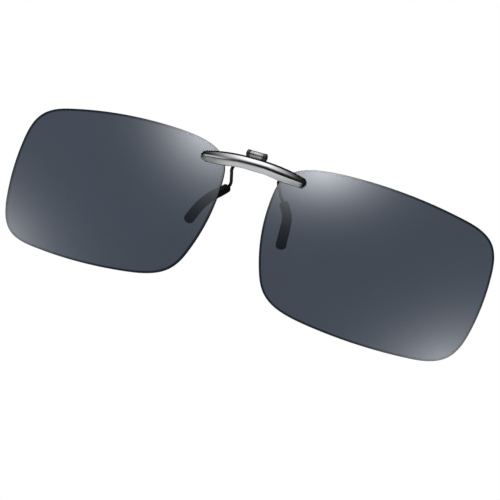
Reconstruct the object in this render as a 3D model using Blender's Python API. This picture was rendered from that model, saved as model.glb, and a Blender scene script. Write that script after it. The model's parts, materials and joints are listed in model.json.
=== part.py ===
"""Clip-on flip-up lenses for spectacles.

World frame: metres, +X right seen from the front, +Y back towards the wearer,
+Z up.  The origin is midway between the rear faces of the two front pads, on
the symmetry plane.  Dimensions below are millimetres measured from the lens
datum (the point midway between the two lens centres), and ORIGIN moves them to
the world frame.
"""

import math

import bmesh
import bpy
import numpy as np
from mathutils import Matrix, Vector

MM = 0.001

# ---------------------------------------------------------------- dimensions
LENS_CX = 36.688  # half the distance between the lens centres
WRAP = math.radians(10.4)  # each lens turned back about its centre
LENS_R = 240.0  # front surface radius
LENS_T = 0.8  # lens thickness
# outline: four edges bowed outwards between virtual corners, nasal bottom first
CORNER = [(-23.38, -18.0), (26.35, -18.31), (28.48, 16.76), (-28.45, 18.48)]
BOW = [2.44, 2.48, 2.92, 3.69]
SETBACK = [(7.25, 11.4), (9.68, 9.64), (8.84, 9.1), (17.21, 7.7)]
FILLET = 0.76

SCREW_X = (10.9, 13.2)  # lens screws, distance from the symmetry plane
SCREW_Z = (14.75, 14.55)
SCREW_R = 0.4
SCREW_HEAD_R = 0.72
BUSH_R_IN = 0.46
BUSH_R_OUT = 0.8
BUSH_HEAD_R = 1.0
LENS_HOLE_R = 0.85
PLATE_T = 0.35

BAR_HALF = 14.5
BAR_FRONT = -6.0  # front of the bar at the middle
BAR_SLOPE = 0.16  # how fast the straight ends run back
BAR_STRAIGHT = 6.8  # where the bow ends and the straight end begins
BAR_T = 1.2

FLIP_Y, FLIP_Z = -4.35, 18.35  # flip axis, along X
BARREL_R = 1.0
BARREL_HALF = 1.5
EAR_R = 1.05
CHEEK_IN, CHEEK_OUT = 1.77, 2.6  # ears and cheeks of the bracket
FLIP_PIN_R = 0.4
WASHER = (1.55, 1.73)

JAW_Y, JAW_Z = 0.45, 17.05  # jaw axis, along X
HUB_R = 0.8
CHEEK_R = 0.9
LEVER_HALF = 1.6
JAW_PIN_R = 0.45
LOWER_Z = 15.5  # bore for the wires
LOWER_R = 0.62
TAB_HALF = 1.25
TAB_TOP = 20.05

WIRE_R = 0.4
WIRE_BORE = 0.43
LEG = [  # right leg, centre line of the wire and then of the sleeve
    (0.12, 0.45, 15.5),
    (5.1, 0.45, 15.5),
    (6.0, 0.45, 15.25),
    (6.4, 0.4, 14.6),
    (6.5, 0.6, 13.8),
    (6.56, 1.55, 13.3),
    (6.76, 3.6, 12.45),
    (7.0, 5.8, 11.4),
    (7.65, 7.25, 10.5),
    (8.9, 6.95, 8.9),
    (10.2, 5.45, 6.95),
    (11.1, 3.6, 4.9),
    (11.85, 1.4, 2.3),
    (12.4, -0.15, -0.4),
    (12.75, -0.95, -2.15),
    (12.93, -1.1, -2.95),
]
HEAD_AT = (7.65, 7.25, 10.5)
WIRE_END = (12.1, 0.7, 1.2)
SLEEVE_R = (1.12, 1.28)  # below the head, near the tip
SLEEVE_BORE = 0.45

PAD_X = (4.4, 7.3)
PAD_Z = (14.75, 16.35)
PAD_BACK = -2.0
WING_Y = (-3.75, -3.25)

COIL_R = 0.68
COIL_WIRE = 0.15
COIL_X = (0.47, 1.43)
COIL_TURNS = 3

ORIGIN = Vector((0.0, PAD_BACK, 15.5))

# ------------------------------------------------------------------ materials
MATERIALS = {
    "tinted_lens": ((0.07, 0.085, 0.105, 0.9), 0.0, 0.05),
    "gunmetal": ((0.33, 0.34, 0.36, 1.0), 1.0, 0.16),
    "bright_steel": ((0.62, 0.63, 0.65, 1.0), 1.0, 0.22),
    "black_metal": ((0.02, 0.02, 0.022, 1.0), 0.6, 0.35),
    "black_wire": ((0.015, 0.015, 0.017, 1.0), 0.5, 0.3),
    "black_rubber": ((0.012, 0.012, 0.013, 1.0), 0.0, 0.7),
    "clear_nylon": ((0.75, 0.76, 0.78, 1.0), 0.0, 0.45),
    "spring_steel": ((0.5, 0.5, 0.52, 1.0), 1.0, 0.25),
}


def material(slot, name):
    """The slot's Principled material, one per object."""
    m = bpy.data.materials.new(name + "_" + slot)
    m.use_nodes = True
    shader = m.node_tree.nodes["Principled BSDF"]
    color, metallic, rough = MATERIALS[slot]
    shader.inputs["Base Color"].default_value = color
    shader.inputs["Metallic"].default_value = metallic
    shader.inputs["Roughness"].default_value = rough
    m.diffuse_color = color
    return m


# ------------------------------------------------------------------- helpers
for old in list(bpy.data.objects):
    bpy.data.objects.remove(old, do_unlink=True)


def world(p):
    return (Vector(p) - ORIGIN) * MM


def make(name, bm, slot, pivot=None, smooth=40.0):
    """An object from a bmesh in millimetres about the lens datum."""
    bmesh.ops.recalc_face_normals(bm, faces=bm.faces)
    mesh = bpy.data.meshes.new(name)
    at = world(pivot) if pivot else Vector((0, 0, 0))
    for v in bm.verts:
        v.co = world(v.co) - at
    bm.to_mesh(mesh)
    bm.free()
    obj = bpy.data.objects.new(name, mesh)
    obj.location = at
    bpy.context.scene.collection.objects.link(obj)
    if slot:
        mesh.materials.append(material(slot, name))
        shade(mesh, smooth)
    return obj


def shade(mesh, angle):
    """Smooth faces, with edges sharper than the angle kept crisp."""
    for f in mesh.polygons:
        f.use_smooth = True
    b = bmesh.new()
    b.from_mesh(mesh)
    limit = math.radians(angle)
    for e in b.edges:
        e.smooth = len(e.link_faces) == 2 and e.calc_face_angle(0.0) < limit
    b.to_mesh(mesh)
    b.free()


def prism(outline, low, high, axis="X"):
    """Solid from an outline in the plane across an axis."""
    bm = bmesh.new()
    place = {
        "X": lambda a, b, t: (t, a, b),
        "Y": lambda a, b, t: (a, t, b),
        "Z": lambda a, b, t: (a, b, t),
    }[axis]
    first = [bm.verts.new(place(a, b, low)) for a, b in outline]
    last = [bm.verts.new(place(a, b, high)) for a, b in outline]
    n = len(outline)
    bm.faces.new(first)
    bm.faces.new(last[::-1])
    for i in range(n):
        bm.faces.new((first[i], first[(i + 1) % n], last[(i + 1) % n], last[i]))
    bmesh.ops.recalc_face_normals(bm, faces=bm.faces)
    return bm


def box(low, high):
    return prism(
        [(low[0], low[1]), (high[0], low[1]), (high[0], high[1]), (low[0], high[1])],
        low[2],
        high[2],
        "Z",
    )


def ring(a, b, r, n=32, start=0.0, sweep=360.0):
    """Points of a circle or an arc, in degrees."""
    full = abs(sweep) >= 360.0
    steps = n if full else n - 1
    return [
        (
            a + r * math.cos(math.radians(start + sweep * i / steps)),
            b + r * math.sin(math.radians(start + sweep * i / steps)),
        )
        for i in range(n)
    ]


def rounded(a0, a1, b0, b1, r, n=4):
    """Rounded rectangle."""
    pts = []
    for ca, cb, s in (
        (a1 - r, b0 + r, -90),
        (a1 - r, b1 - r, 0),
        (a0 + r, b1 - r, 90),
        (a0 + r, b0 + r, 180),
    ):
        pts += ring(ca, cb, r, n + 1, s, 90)
    return pts


def spin(profile, centre, axis, n=32):
    """Solid turned about an axis through centre: profile is (distance along, radius)."""
    bm = bmesh.new()
    a = Vector(axis).normalized()
    u = a.orthogonal().normalized()
    w = a.cross(u)
    rows = []
    for t, r in profile:
        if r <= 1e-9:
            rows.append([bm.verts.new(Vector(centre) + a * t)])
        else:
            rows.append(
                [
                    bm.verts.new(
                        Vector(centre)
                        + a * t
                        + (u * math.cos(2 * math.pi * k / n) + w * math.sin(2 * math.pi * k / n))
                        * r
                    )
                    for k in range(n)
                ]
            )
    pairs = list(zip(rows, rows[1:]))
    if profile[0][1] > 1e-9:
        pairs.append((rows[-1], rows[0]))
    for p, q in pairs:
        for k in range(n):
            j = (k + 1) % n
            quad = [p[k % len(p)], p[j % len(p)], q[j % len(q)], q[k % len(q)]]
            face = []
            for v in quad:
                if v not in face:
                    face.append(v)
            if len(face) > 2:
                bm.faces.new(face)
    bmesh.ops.recalc_face_normals(bm, faces=bm.faces)
    return bm


def merged(parts):
    """One bmesh holding several, not joined."""
    out = bmesh.new()
    for b in parts:
        tmp = bpy.data.meshes.new("tmp")
        b.to_mesh(tmp)
        b.free()
        out.from_mesh(tmp)
        bpy.data.meshes.remove(tmp)
    return out


def combine(bm, adds=(), cuts=()):
    """Exact boolean of a bmesh with others, done by modifiers and applied."""
    base = bpy.data.objects.new("work", bpy.data.meshes.new("work"))
    bm.to_mesh(base.data)
    bm.free()
    bpy.context.scene.collection.objects.link(base)
    tools = []
    for kind, group in (("UNION", adds), ("DIFFERENCE", cuts)):
        for b in group:
            t = bpy.data.objects.new("cutter", bpy.data.meshes.new("cutter"))
            b.to_mesh(t.data)
            b.free()
            t.hide_render = True
            t.display_type = "WIRE"
            bpy.context.scene.collection.objects.link(t)
            m = base.modifiers.new("cut", "BOOLEAN")
            m.object = t
            m.operation = kind
            m.solver = "EXACT"
            tools.append(t)
    graph = bpy.context.evaluated_depsgraph_get()
    mesh = bpy.data.meshes.new_from_object(base.evaluated_get(graph))
    out = bmesh.new()
    out.from_mesh(mesh)
    for o in [base, *tools]:
        bpy.data.objects.remove(o, do_unlink=True)
    bpy.data.meshes.remove(mesh)
    bmesh.ops.remove_doubles(out, verts=out.verts, dist=1e-4)
    bmesh.ops.dissolve_degenerate(out, dist=1e-5, edges=out.edges)
    return out


def curve_through(points, per=6):
    """Centripetal curve through control points, sampled per span."""
    p = [np.array(q, float) for q in points]
    p = [2 * p[0] - p[1], *p, 2 * p[-1] - p[-2]]
    out = []
    for i in range(1, len(p) - 2):
        a, b, c, d = p[i - 1 : i + 3]
        t = [0.0]
        for u, v in ((a, b), (b, c), (c, d)):
            t.append(t[-1] + max(np.linalg.norm(v - u), 1e-6) ** 0.5)
        for k in range(per):
            s = t[1] + (t[2] - t[1]) * k / per
            a1 = a * (t[1] - s) / (t[1] - t[0]) + b * (s - t[0]) / (t[1] - t[0])
            a2 = b * (t[2] - s) / (t[2] - t[1]) + c * (s - t[1]) / (t[2] - t[1])
            a3 = c * (t[3] - s) / (t[3] - t[2]) + d * (s - t[2]) / (t[3] - t[2])
            b1 = a1 * (t[2] - s) / (t[2] - t[0]) + a2 * (s - t[0]) / (t[2] - t[0])
            b2 = a2 * (t[3] - s) / (t[3] - t[1]) + a3 * (s - t[1]) / (t[3] - t[1])
            out.append(b1 * (t[2] - s) / (t[2] - t[1]) + b2 * (s - t[1]) / (t[2] - t[1]))
    out.append(p[-2])
    return out


def frames(path):
    """A steady pair of cross directions at each point of a path."""
    tang = []
    for i in range(len(path)):
        d = path[min(i + 1, len(path) - 1)] - path[max(i - 1, 0)]
        tang.append(d / np.linalg.norm(d))
    side = np.cross(tang[0], [0.0, 0.0, 1.0])
    if np.linalg.norm(side) < 1e-3:
        side = np.cross(tang[0], [0.0, 1.0, 0.0])
    out = []
    for t in tang:
        side = side - t * np.dot(side, t)
        side = side / np.linalg.norm(side)
        out.append((side, np.cross(t, side)))
    return out


def tube(path, radii, n=12):
    """Solid swept along a path with a radius at each point."""
    bm = bmesh.new()
    rows = []
    for p, r, (u, w) in zip(path, radii, frames(path)):
        rows.append(
            [
                bm.verts.new(
                    p + r * (u * math.cos(2 * math.pi * k / n) + w * math.sin(2 * math.pi * k / n))
                )
                for k in range(n)
            ]
        )
    bm.faces.new(rows[0][::-1])
    bm.faces.new(rows[-1])
    for p, q in zip(rows, rows[1:]):
        for k in range(n):
            j = (k + 1) % n
            bm.faces.new((p[k], p[j], q[j], q[k]))
    bmesh.ops.recalc_face_normals(bm, faces=bm.faces)
    return bm


def sleeve(path, radii, bore, bore_end, n=16):
    """Tube with a blind bore from its first end to the point bore_end along the path."""
    bm = bmesh.new()
    fr = frames(path)

    def row(i, r):
        u, w = fr[i]
        return [
            bm.verts.new(
                path[i]
                + r * (u * math.cos(2 * math.pi * k / n) + w * math.sin(2 * math.pi * k / n))
            )
            for k in range(n)
        ]

    outer = [row(i, r) for i, r in enumerate(radii)]
    inner = [row(i, bore) for i in range(bore_end + 1)]
    for rows in (outer, inner):
        for p, q in zip(rows, rows[1:]):
            for k in range(n):
                j = (k + 1) % n
                bm.faces.new((p[k], p[j], q[j], q[k]))
    bm.faces.new(outer[-1])
    bm.faces.new(inner[-1])
    for k in range(n):
        j = (k + 1) % n
        bm.faces.new((outer[0][k], outer[0][j], inner[0][j], inner[0][k]))
    bmesh.ops.recalc_face_normals(bm, faces=bm.faces)
    return bm


def mirrored(points):
    return [(-x, y, z) for x, y, z in points]


# --------------------------------------------------------------------- lenses
def lens_outline(n=7):
    V = np.array(CORNER)

    def edge(i, t):
        a, b = V[i], V[(i + 1) % 4]
        d = b - a
        nrm = np.array([d[1], -d[0]]) / np.hypot(*d)
        tan = d + nrm * 4 * BOW[i] * (1 - 2 * t)
        return a + d * t + nrm * 4 * BOW[i] * t * (1 - t), tan / np.hypot(*tan)

    pts = []
    for i in range(4):
        size = np.hypot(*(V[(i + 1) % 4] - V[i]))
        j = (i + 1) % 4
        size2 = np.hypot(*(V[(j + 1) % 4] - V[j]))
        t0, t1 = SETBACK[i][1] / size, 1 - SETBACK[j][0] / size
        for t in np.linspace(t0, t1, n, endpoint=False):
            pts.append(edge(i, t)[0])
        p, tp = edge(i, t1)
        q, tq = edge(j, SETBACK[j][1] / size2)
        ab = np.linalg.solve(np.array([tp, tq]).T, q - p)
        c1, c2 = p + tp * ab[0] * FILLET, q - tq * ab[1] * FILLET
        m = n + 3
        for t in np.linspace(0, 1, m, endpoint=False):
            pts.append((1 - t) ** 3 * p + 3 * (1 - t) ** 2 * t * c1 + 3 * (1 - t) * t * t * c2 + t**3 * q)
    return np.array(pts)


def lens_point(u, v, depth, side):
    """Point of the right (side 1) or left (side -1) lens, depth behind the front."""
    s = (u * u + v * v) / (2 * LENS_R)
    nu, nv = -u / LENS_R, -v / LENS_R
    size = math.sqrt(1 + nu * nu + nv * nv)
    u, s, v = u + depth * nu / size, s + depth / size, v + depth * nv / size
    x = LENS_CX + u * math.cos(WRAP) - s * math.sin(WRAP)
    y = u * math.sin(WRAP) + s * math.cos(WRAP)
    return Vector((side * x, y, v))


def lens_uv(x, z):
    """Lens coordinates of the front surface point at x, z."""
    u, v = (x - LENS_CX) / math.cos(WRAP), z
    for _ in range(20):
        s = (u * u + v * v) / (2 * LENS_R)
        u = (x - LENS_CX + s * math.sin(WRAP)) / math.cos(WRAP)
    return u, v


def lens_normal(u, v, side):
    """Unit normal pointing to the back of the lens."""
    return (lens_point(u, v, 1.0, side) - lens_point(u, v, 0.0, side)).normalized()


def screw_axis(i, side):
    """A point on the lens front and the direction to the back for screw i."""
    u, v = lens_uv(SCREW_X[i], SCREW_Z[i])
    return lens_point(u, v, 0.0, side), lens_normal(u, v, side)


def lens_blank(side):
    outline = lens_outline()
    bm = bmesh.new()
    rings = []
    # rings shrink towards the middle so that the curved faces follow the sphere
    centre = np.array([0.0, 0.0])
    for depth in (0.0, LENS_T):
        rows = []
        for f in (1.0, 0.9, 0.68, 0.42, 0.18):
            rows.append(
                [bm.verts.new(lens_point(*(centre + f * (p - centre)), depth, side)) for p in outline]
            )
        mid = bm.verts.new(lens_point(0, 0, depth, side))
        rings.append((rows, mid))
    n = len(outline)
    for rows, mid in rings:
        for p, q in zip(rows, rows[1:]):
            for k in range(n):
                j = (k + 1) % n
                bm.faces.new((p[k], p[j], q[j], q[k]))
        for k in range(n):
            bm.faces.new((rows[-1][k], rows[-1][(k + 1) % n], mid))
    a, b = rings[0][0][0], rings[1][0][0]
    for k in range(n):
        j = (k + 1) % n
        bm.faces.new((a[k], a[j], b[j], b[k]))
    bmesh.ops.recalc_face_normals(bm, faces=bm.faces)
    return bm


def build_lens(name, side):
    cuts = []
    for i in (0, 1):
        p, d = screw_axis(i, side)
        cuts.append(spin([(-2, 0), (-2, LENS_HOLE_R), (3, LENS_HOLE_R), (3, 0)], p, d, 24))
    make(name, combine(lens_blank(side), cuts=cuts), "tinted_lens", smooth=30)


# ----------------------------------------------------------------- bridge bar
def bar_front(x):
    x = abs(x)
    bow = BAR_SLOPE * min(x, BAR_STRAIGHT) ** 2 / (2 * BAR_STRAIGHT)
    return BAR_FRONT + bow + BAR_SLOPE * max(x - BAR_STRAIGHT, 0.0)


def bar_top(x):
    return 17.36 - 1.3 * (abs(x) / 13.7) ** 2.6


def bar_bottom(x):
    x = abs(x)
    return 14.05 - 0.74 * min(x / 8.2, 1.0) ** 2.6 + 0.03 * max(0.0, x - 8.2)


# (depth behind the front, height as a share) of the bar's faceted section
BAR_SECTION = [
    (1.0, 0.0),
    (0.66, 0.015),
    (0.42, 0.08),
    (0.06, 0.35),
    (0.0, 0.42),
    (0.06, 0.49),
    (0.46, 0.9),
    (0.68, 0.985),
    (1.0, 1.0),
]


def bar_solid():
    """Lofted bar with rounded ends."""
    xs = [0.0, 1.5, 3.0, 4.5, 6.0, 7.5, 9.0, 10.5, 11.8, 12.8]
    end = 1.7
    tips = [BAR_HALF - end + end * math.sin(math.radians(a)) for a in (0, 18, 36, 52, 66, 78, 86)]
    xs = xs + [t for t in tips if t > xs[-1] + 0.05]
    xs = [-x for x in xs[:0:-1]] + xs
    bm = bmesh.new()
    rows = []
    for x in xs:
        t = max(0.0, (abs(x) - (BAR_HALF - end)) / end)
        keep = math.sqrt(max(1.0 - t * t, 0.0))
        zt, zb = bar_top(x), bar_bottom(x)
        mid = zb + 0.46 * (zt - zb)
        zt, zb = mid + (zt - mid) * keep, mid + (zb - mid) * keep
        yf = bar_front(x)
        back = yf + BAR_T
        front = back - BAR_T * (0.45 + 0.55 * keep)
        rows.append(
            [
                bm.verts.new((x, front + (back - front) * d, zb + (zt - zb) * h))
                for d, h in BAR_SECTION
            ]
        )
    m = len(BAR_SECTION)
    for p, q in zip(rows, rows[1:]):
        for k in range(m):
            j = (k + 1) % m
            bm.faces.new((p[k], p[j], q[j], q[k]))
    bm.faces.new(rows[0][::-1])
    bm.faces.new(rows[-1])
    bmesh.ops.recalc_face_normals(bm, faces=bm.faces)
    return bm


def bar_back(x):
    return bar_front(x) + BAR_T


def build_bar():
    cuts = []
    for side in (-1, 1):
        for i in (0, 1):
            p, d = screw_axis(i, side)
            # blind hole, from the back of the bar
            gap = (p.y - bar_back(p.x)) / d.y
            cuts.append(
                spin(
                    [(-gap - 0.78, 0), (-gap - 0.78, SCREW_R + 0.04), (0.1, SCREW_R + 0.04), (0.1, 0)],
                    p,
                    d,
                    16,
                )
            )
    cuts.append(
        spin([(0, 0), (0, 0.4), (3, 0.4), (3, 0)], (0, BAR_FRONT + BAR_T - 0.75, 14.85), (0, 1, 0), 16)
    )
    make("bridge_bar", combine(bar_solid(), cuts=cuts), "gunmetal", pivot=(0, FLIP_Y, FLIP_Z), smooth=22)


# ------------------------------------------------- lens screws, bushes, plates
def lens_stack(side, tag):
    for i, where in enumerate(("inner", "outer")):
        p, d = screw_axis(i, side)
        gap = (p.y - bar_back(p.x)) / d.y  # bar back to lens front along the screw
        back = LENS_T  # along the screw, from the lens front
        # nylon bush: flange between bar and lens, shank in the lens hole
        make(
            "lens_bush_%s_%s" % (tag, where),
            spin(
                [
                    (-gap + 0.12, BUSH_R_IN),
                    (-gap + 0.12, BUSH_HEAD_R),
                    (-0.02, BUSH_HEAD_R),
                    (-0.02, BUSH_R_OUT),
                    (back - 0.03, BUSH_R_OUT),
                    (back - 0.03, BUSH_R_IN),
                ],
                p,
                d,
                20,
            ),
            "clear_nylon",
            pivot=(0, FLIP_Y, FLIP_Z),
        )
        h = back + 0.05 + PLATE_T + 0.03
        make(
            "lens_screw_%s_%s" % (tag, where),
            spin(
                [
                    (-gap - 0.72, 0),
                    (-gap - 0.72, SCREW_R - 0.08),
                    (-gap - 0.64, SCREW_R),
                    (h, SCREW_R),
                    (h, SCREW_HEAD_R),
                    (h + 0.22, SCREW_HEAD_R),
                    (h + 0.38, SCREW_HEAD_R * 0.72),
                    (h + 0.42, 0),
                ],
                p,
                d,
                20,
            ),
            "bright_steel",
            pivot=(0, FLIP_Y, FLIP_Z),
        )
    # retaining plate behind the lens, along the line of the two screws
    (p0, d0), (p1, d1) = screw_axis(0, side), screw_axis(1, side)
    d = ((d0 + d1) / 2).normalized()
    along = (p1 - p0)
    along = (along - d * along.dot(d)).normalized()
    up = d.cross(along)
    mid = (p0 + p1) / 2 + d * (LENS_T + 0.05)
    half = (p1 - p0).length / 2
    r = 1.0
    outline = []
    for c, s in ((half, -90), (-half, 90)):
        outline += [
            (c + r * math.cos(math.radians(s + 180 * k / 10)), r * math.sin(math.radians(s + 180 * k / 10)))
            for k in range(11)
        ]
    bm = bmesh.new()
    rows = [
        [bm.verts.new(mid + along * a + up * b + d * t) for a, b in outline] for t in (0.0, PLATE_T)
    ]
    n = len(outline)
    bm.faces.new(rows[0])
    bm.faces.new(rows[1][::-1])
    for k in range(n):
        j = (k + 1) % n
        bm.faces.new((rows[0][k], rows[0][j], rows[1][j], rows[1][k]))
    bmesh.ops.recalc_face_normals(bm, faces=bm.faces)
    cuts = [
        spin([(-2, 0), (-2, 0.46), (4, 0.46), (4, 0)], q, e, 20) for q, e in ((p0, d0), (p1, d1))
    ]
    make("retaining_plate_" + tag, combine(bm, cuts=cuts), "black_metal", pivot=(0, FLIP_Y, FLIP_Z))


# --------------------------------------------------------------- hinge leaf
def build_leaf():
    y0 = BAR_FRONT + BAR_T + 0.05
    y1 = y0 + 0.5
    plate = prism(rounded(-1.5, 1.5, 14.1, 18.2, 0.35), y0, y1, "Y")
    barrel = prism(ring(FLIP_Y, FLIP_Z, BARREL_R, 32), -BARREL_HALF, BARREL_HALF)
    bore = prism(ring(FLIP_Y, FLIP_Z, FLIP_PIN_R + 0.04, 32), -3, 3)
    hole = spin([(-2, 0), (-2, 0.42), (2, 0.42), (2, 0)], (0, y0, 14.85), (0, 1, 0), 16)
    make(
        "hinge_leaf",
        combine(barrel, adds=[plate], cuts=[bore, hole]),
        "bright_steel",
        pivot=(0, FLIP_Y, FLIP_Z),
    )
    make(
        "leaf_screw",
        spin(
            [
                (-0.68, 0),
                (-0.68, 0.3),
                (-0.6, 0.37),
                (y1 - y0 + 0.08, 0.37),
                (y1 - y0 + 0.08, 0.62),
                (y1 - y0 + 0.2, 0.62),
                (y1 - y0 + 0.28, 0.4),
                (y1 - y0 + 0.3, 0),
            ],
            (0, y0, 14.85),
            (0, 1, 0),
            20,
        ),
        "bright_steel",
        pivot=(0, FLIP_Y, FLIP_Z),
    )


# --------------------------------------------------------------- clip bracket
def build_bracket():
    cheek = (
        ring(FLIP_Y, FLIP_Z, EAR_R, 16, 265, -285)
        + [(-2.75, 17.45), (-1.2, 17.4)]
        + ring(JAW_Y, JAW_Z, CHEEK_R, 13, 100, -190)
        + [(-0.7, 15.62), (WING_Y[0], 15.62), (WING_Y[0], 16.9), (-4.2, 17.2)]
    )
    left = prism(cheek, -CHEEK_OUT, -CHEEK_IN)
    adds = [
        prism(cheek, CHEEK_IN, CHEEK_OUT),
        box((-2.0, WING_Y[0], 15.62), (2.0, -0.38, 16.0)),  # floor
        box((-1.6, -0.9, 14.95), (1.6, -0.38, 15.8)),  # stop lip
    ]
    for s in (-1, 1):
        a, b = sorted((s * 2.3, s * 7.1))
        adds.append(prism(rounded(a, b, 14.95, 16.15, 0.3), WING_Y[0], WING_Y[1], "Y"))
    cuts = [
        prism(ring(FLIP_Y, FLIP_Z, FLIP_PIN_R + 0.03, 32), -4, 4),
        prism(ring(JAW_Y, JAW_Z, JAW_PIN_R + 0.03, 32), -4, 4),
    ]
    for s in (-1, 1):
        cuts.append(
            spin([(-1, 0), (-1, 0.5), (1, 0.5), (1, 0)], (s * 5.9, WING_Y[0], 15.55), (0, 1, 0), 20)
        )
    make("clip_bracket", combine(left, adds=adds, cuts=cuts), "black_metal", smooth=32)


def build_pins():
    def pin(name, r, head, y, z, slot):
        make(
            name,
            spin(
                [
                    (-2.86, 0),
                    (-2.86, head * 0.7),
                    (-2.78, head),
                    (-2.63, head),
                    (-2.63, r),
                    (2.63, r),
                    (2.63, head),
                    (2.78, head),
                    (2.86, head * 0.7),
                    (2.86, 0),
                ],
                (0, y, z),
                (1, 0, 0),
                32,
            ),
            slot,
        )

    pin("flip_pin", FLIP_PIN_R, 0.66, FLIP_Y, FLIP_Z, "black_metal")
    pin("jaw_pin", JAW_PIN_R, 0.7, JAW_Y, JAW_Z, "black_metal")
    for s, tag in ((-1, "left"), (1, "right")):
        a, b = WASHER
        make(
            "flip_washer_" + tag,
            spin([(a, 0.44), (a, 0.86), (b, 0.86), (b, 0.44)], (0, FLIP_Y, FLIP_Z), (s, 0, 0), 32),
            "spring_steel",
        )


def build_pads():
    for s, tag in ((-1, "left"), (1, "right")):
        a, b = sorted((s * PAD_X[0], s * PAD_X[1]))
        y0 = WING_Y[1] + 0.03
        bm = bmesh.new()
        rows = []
        for y, inset in ((y0, 0.12), (y0 + 0.12, 0.0), (PAD_BACK - 0.3, 0.0), (PAD_BACK - 0.09, 0.09), (PAD_BACK, 0.3)):
            rows.append(
                [
                    bm.verts.new((x, y, z))
                    for x, z in rounded(a + inset, b - inset, PAD_Z[0] + inset, PAD_Z[1] - inset, 0.45 - inset * 0.6, 4)
                ]
            )
        n = len(rows[0])
        for p, q in zip(rows, rows[1:]):
            for k in range(n):
                j = (k + 1) % n
                bm.faces.new((p[k], p[j], q[j], q[k]))
        bm.faces.new(rows[0])
        bm.faces.new(rows[-1])
        bmesh.ops.recalc_face_normals(bm, faces=bm.faces)
        peg = spin(
            [
                (WING_Y[0] - 0.34, 0),
                (WING_Y[0] - 0.34, 0.45),
                (WING_Y[0] - 0.12, 0.66),
                (WING_Y[0] - 0.04, 0.66),
                (WING_Y[0] - 0.04, 0.47),
                (y0 + 0.4, 0.47),
                (y0 + 0.4, 0),
            ],
            (s * 5.9, 0, 15.55),
            (0, 1, 0),
            20,
        )
        make("front_pad_" + tag, combine(bm, adds=[peg]), "black_rubber")


# ------------------------------------------------------------------ jaw lever
def build_lever():
    # capsule round the jaw axis and the wire bore
    body = ring(JAW_Y, JAW_Z, HUB_R, 17, 0, 180) + ring(JAW_Y, LOWER_Z, LOWER_R, 17, 180, 180)
    tab = [
        (0.35, 17.0),
        (1.1, 17.0),
        (1.3, 18.0),
        (1.62, 19.4),
        (1.66, 19.95),
        (1.45, TAB_TOP),
        (1.05, TAB_TOP - 0.04),
        (0.9, 19.5),
        (0.55, 18.0),
    ]
    cuts = [
        prism(ring(JAW_Y, JAW_Z, JAW_PIN_R + 0.04, 32), -3, 0.9),
        prism(ring(JAW_Y, JAW_Z, COIL_R + COIL_WIRE + 0.12, 32), 0.28, 3),
        prism(ring(JAW_Y, LOWER_Z, WIRE_BORE, 24), -3, 3),
    ]
    make(
        "jaw_lever",
        combine(
            prism(body, -LEVER_HALF, LEVER_HALF), adds=[prism(tab, -TAB_HALF, TAB_HALF)], cuts=cuts
        ),
        "black_metal",
        pivot=(0, JAW_Y, JAW_Z),
        smooth=32,
    )


def build_legs():
    path = curve_through(LEG, 4)
    end = min(range(len(path)), key=lambda i: np.linalg.norm(path[i] - np.array(WIRE_END)))
    head = min(range(len(path)), key=lambda i: np.linalg.norm(path[i] - np.array(HEAD_AT)))
    for s, tag in ((-1, "left"), (1, "right")):
        line = [p * np.array((s, 1, 1)) for p in path]
        wire = line[: end + 1]
        make(
            "leg_wire_" + tag,
            tube(wire, [WIRE_R] * len(wire), 12),
            "black_wire",
            pivot=(0, JAW_Y, JAW_Z),
            smooth=60,
        )
        # sleeve: bulged head, slimmer body, rounded flat tip
        rubber = line[head:]
        size = []
        total = np.cumsum([0] + [np.linalg.norm(b - a) for a, b in zip(rubber, rubber[1:])])
        for t in total:
            full = SLEEVE_R[0] + (SLEEVE_R[1] - SLEEVE_R[0]) * min(t / (0.75 * total[-1]), 1.0)
            r = full
            if t < 1.0:
                r = 0.7 + (full - 0.7) * math.sin(t * math.pi / 2)
            left_over = total[-1] - t
            if left_over < 1.0:
                r = full * math.sqrt(max(1 - ((1.0 - left_over) / 1.06) ** 2, 0.0))
            size.append(max(r, 0.4))
        make(
            "leg_sleeve_" + tag,
            sleeve(rubber, size, SLEEVE_BORE, end - head + 1, 16),
            "black_rubber",
            pivot=(0, JAW_Y, JAW_Z),
            smooth=60,
        )


def build_spring():
    """Torsion spring: leg down behind the lever, three turns, leg forward to the floor."""
    rest = np.array((-2.55, 16.0 + COIL_WIRE + 0.03))  # where the long leg meets the floor
    centre = np.array((JAW_Y, JAW_Z))
    reach = np.linalg.norm(centre - rest)
    lean = math.atan2(*(centre - rest)[::-1]) + math.asin(COIL_R / reach)
    leave = lean + math.pi / 2  # angle at which the wire leaves the coil
    back = JAW_Y + LOWER_R + COIL_WIRE + 0.04
    path = [
        np.array((COIL_X[0], back, LOWER_Z - 0.15)),
        np.array((COIL_X[0], back + 0.02, LOWER_Z + 0.5)),
    ]
    last = leave + 2 * math.pi * COIL_TURNS
    steps = 12 * COIL_TURNS + 4
    for k in range(steps + 1):
        a = last * k / steps
        x = COIL_X[0] + (COIL_X[1] - COIL_X[0]) * k / steps
        path.append(np.array((x, JAW_Y + COIL_R * math.cos(a), JAW_Z + COIL_R * math.sin(a))))
    span = math.sqrt(reach**2 - COIL_R**2)
    direction = np.array((0.0, -math.cos(lean), -math.sin(lean)))
    path.append(path[-1] + direction * span * 0.5)
    path.append(path[-2] + direction * span)
    make("torsion_spring", tube(path, [COIL_WIRE] * len(path), 8), "spring_steel", smooth=60)


# --------------------------------------------------------------------- build
build_lens("lens_left", -1)
build_lens("lens_right", 1)
build_bar()
lens_stack(-1, "left")
lens_stack(1, "right")
build_leaf()
build_bracket()
build_pins()
build_pads()
build_lever()
build_legs()
build_spring()
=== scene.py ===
import json
import math

import bmesh
import bpy
import numpy as np
from mathutils import Matrix, Vector

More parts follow.
